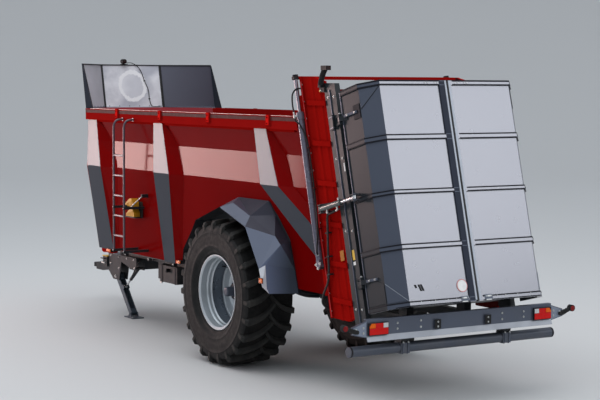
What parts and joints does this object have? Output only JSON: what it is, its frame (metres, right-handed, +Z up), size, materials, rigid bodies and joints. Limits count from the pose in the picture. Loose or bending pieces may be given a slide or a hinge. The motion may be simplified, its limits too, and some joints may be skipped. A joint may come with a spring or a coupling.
{
  "type": "manure spreader",
  "caption": "Towed single-axle farm spreader: long high box with a bulged front screen, lift gate, upright spiral beaters, leaning faceted rear doors, lamp bar, ladder and parking jack.",
  "frame": {"origin": "on the floor, under the middle of the overall box", "axes": "+X forward along travel, +Y to the machine's left, +Z up"},
  "size_m": [10.5948, 3.4198, 4.088],
  "materials": {
    "red_paint": "semi-gloss red paint",
    "grey_paint": "semi-gloss silver grey paint",
    "dark_paint": "dark grey paint",
    "bare_steel": "silver painted or bare steel",
    "chrome_rod": "polished rod",
    "tyre_rubber": "black rubber",
    "black_plastic": "black plastic"
  },
  "bodies": {
    "frame": {"chassis": "dark_paint", "drawbar": "dark_paint", "drawbar_ring": "dark_paint", "axle_beam": "dark_paint", "fender_left": "grey_paint", "fender_right": "grey_paint", "box_floor": "dark_paint", "floor_chain": "bare_steel", "side_wall_left": "red_paint", "side_wall_right": "red_paint", "side_pillars_left": "red_paint", "side_pillars_right": "red_paint", "top_rail_left": "red_paint", "top_rail_right": "red_paint", "front_wall": "red_paint", "front_screen": "grey_paint", "screen_lamp": "black_plastic", "ladder": "dark_paint", "gate_barrel_left": "bare_steel", "gate_barrel_right": "bare_steel", "adapter_wall_left": "red_paint", "adapter_wall_right": "red_paint", "rear_post_left": "dark_paint", "rear_post_right": "dark_paint", "top_beam": "red_paint", "beater_bearing_beam": "dark_paint", "beater_pan": "dark_paint", "beater_gearbox": "dark_paint", "rear_carrier": "dark_paint", "lamp_bar": "grey_paint", "side_markers": "black_plastic", "underrun_tube": "grey_paint", "jack_bracket": "dark_paint", "oil_tank": "dark_paint"},
    "wheel_left": {"tyre_left": "tyre_rubber", "rim_left": "bare_steel"},
    "wheel_right": {"tyre_right": "tyre_rubber", "rim_right": "bare_steel"},
    "gate": {"lift_gate": "red_paint"},
    "door_left": {"door_left": "grey_paint"},
    "door_right": {"door_right": "grey_paint"},
    "ram_barrel_left": {"ram_barrel_left": "dark_paint"},
    "ram_barrel_right": {"ram_barrel_right": "dark_paint"},
    "ram_rod_left": {"ram_rod_left": "chrome_rod"},
    "ram_rod_right": {"ram_rod_right": "chrome_rod"},
    "beater_left": {"beater_left": "bare_steel"},
    "beater_right": {"beater_right": "bare_steel"},
    "driveline": {"driveline": "bare_steel"},
    "jack": {"jack_leg": "dark_paint"},
    "jack_barrel": {"jack_barrel": "dark_paint"},
    "jack_rod": {"jack_rod": "chrome_rod"}
  },
  "joints": [
    {"name": "wheel_left_turn", "type": "hinge", "parent": "frame", "child": "wheel_left", "pos_m": [-1.57255, 1.08, 0.962], "axis": [0, 1, 0], "continuous": true},
    {"name": "wheel_right_turn", "type": "hinge", "parent": "frame", "child": "wheel_right", "pos_m": [-1.57255, -1.08, 0.962], "axis": [0, 1, 0], "continuous": true},
    {"name": "gate_lift", "type": "slide", "parent": "frame", "child": "gate", "axis": [0.2521, 0, 0.9677], "range_m": [0, 1.3]},
    {"name": "door_left_swing", "type": "hinge", "parent": "frame", "child": "door_left", "pos_m": [-4.38945, 1.15, 2.24801], "axis": [-0.2521, 0, -0.9677], "range_deg": [0, 100]},
    {"name": "door_right_swing", "type": "hinge", "parent": "frame", "child": "door_right", "pos_m": [-4.38945, -1.15, 2.24801], "axis": [0.2521, 0, 0.9677], "range_deg": [0, 100]},
    {"name": "ram_left_swing", "type": "hinge", "parent": "frame", "child": "ram_barrel_left", "pos_m": [-3.79754, 1.2, 2.2075], "axis": [-0.2521, 0, -0.9677], "range_deg": [-1, 12]},
    {"name": "ram_right_swing", "type": "hinge", "parent": "frame", "child": "ram_barrel_right", "pos_m": [-3.79754, -1.2, 2.2075], "axis": [0.2521, 0, 0.9677], "range_deg": [-1, 12]},
    {"name": "ram_left_rod", "type": "slide", "parent": "ram_barrel_left", "child": "ram_rod_left", "axis": [0.9677, 0, -0.2521], "range_m": [0, 0.218]},
    {"name": "ram_right_rod", "type": "slide", "parent": "ram_barrel_right", "child": "ram_rod_right", "axis": [0.9677, 0, -0.2521], "range_m": [0, 0.218]},
    {"name": "beater_left_turn", "type": "hinge", "parent": "frame", "child": "beater_left", "pos_m": [-4.1959, 0.5, 2.1976], "axis": [0.2521, 0, 0.9677], "continuous": true},
    {"name": "beater_right_turn", "type": "hinge", "parent": "frame", "child": "beater_right", "pos_m": [-4.1959, -0.5, 2.1976], "axis": [0.2521, 0, 0.9677], "continuous": true},
    {"name": "power_line_turn", "type": "hinge", "parent": "frame", "child": "driveline", "pos_m": [0.42745, 0, 1.07], "axis": [1, 0, 0], "continuous": true},
    {"name": "jack_fold", "type": "hinge", "parent": "frame", "child": "jack", "pos_m": [3.29745, 0.5, 0.61], "axis": [0, 1, 0], "range_deg": [0, 30]},
    {"name": "jack_ram_swing", "type": "hinge", "parent": "frame", "child": "jack_barrel", "pos_m": [2.60745, 0.5, 0.8], "axis": [0, -1, 0], "range_deg": [-1, 12]},
    {"name": "jack_ram_rod", "type": "slide", "parent": "jack_barrel", "child": "jack_rod", "axis": [-0.8086, 0, 0.5884], "range_m": [0, 0.109]}
  ],
  "couplings": [
    {"joint": "ram_left_swing", "follows": "door_left_swing", "ratio": 0.1},
    {"joint": "ram_right_swing", "follows": "door_right_swing", "ratio": 0.1},
    {"joint": "ram_left_rod", "follows": "door_left_swing", "m_per_rad": 0.12489},
    {"joint": "ram_right_rod", "follows": "door_right_swing", "m_per_rad": 0.12489},
    {"joint": "jack_ram_swing", "follows": "jack_fold", "ratio": 0.31168},
    {"joint": "jack_ram_rod", "follows": "jack_fold", "m_per_rad": 0.20676}
  ]
}
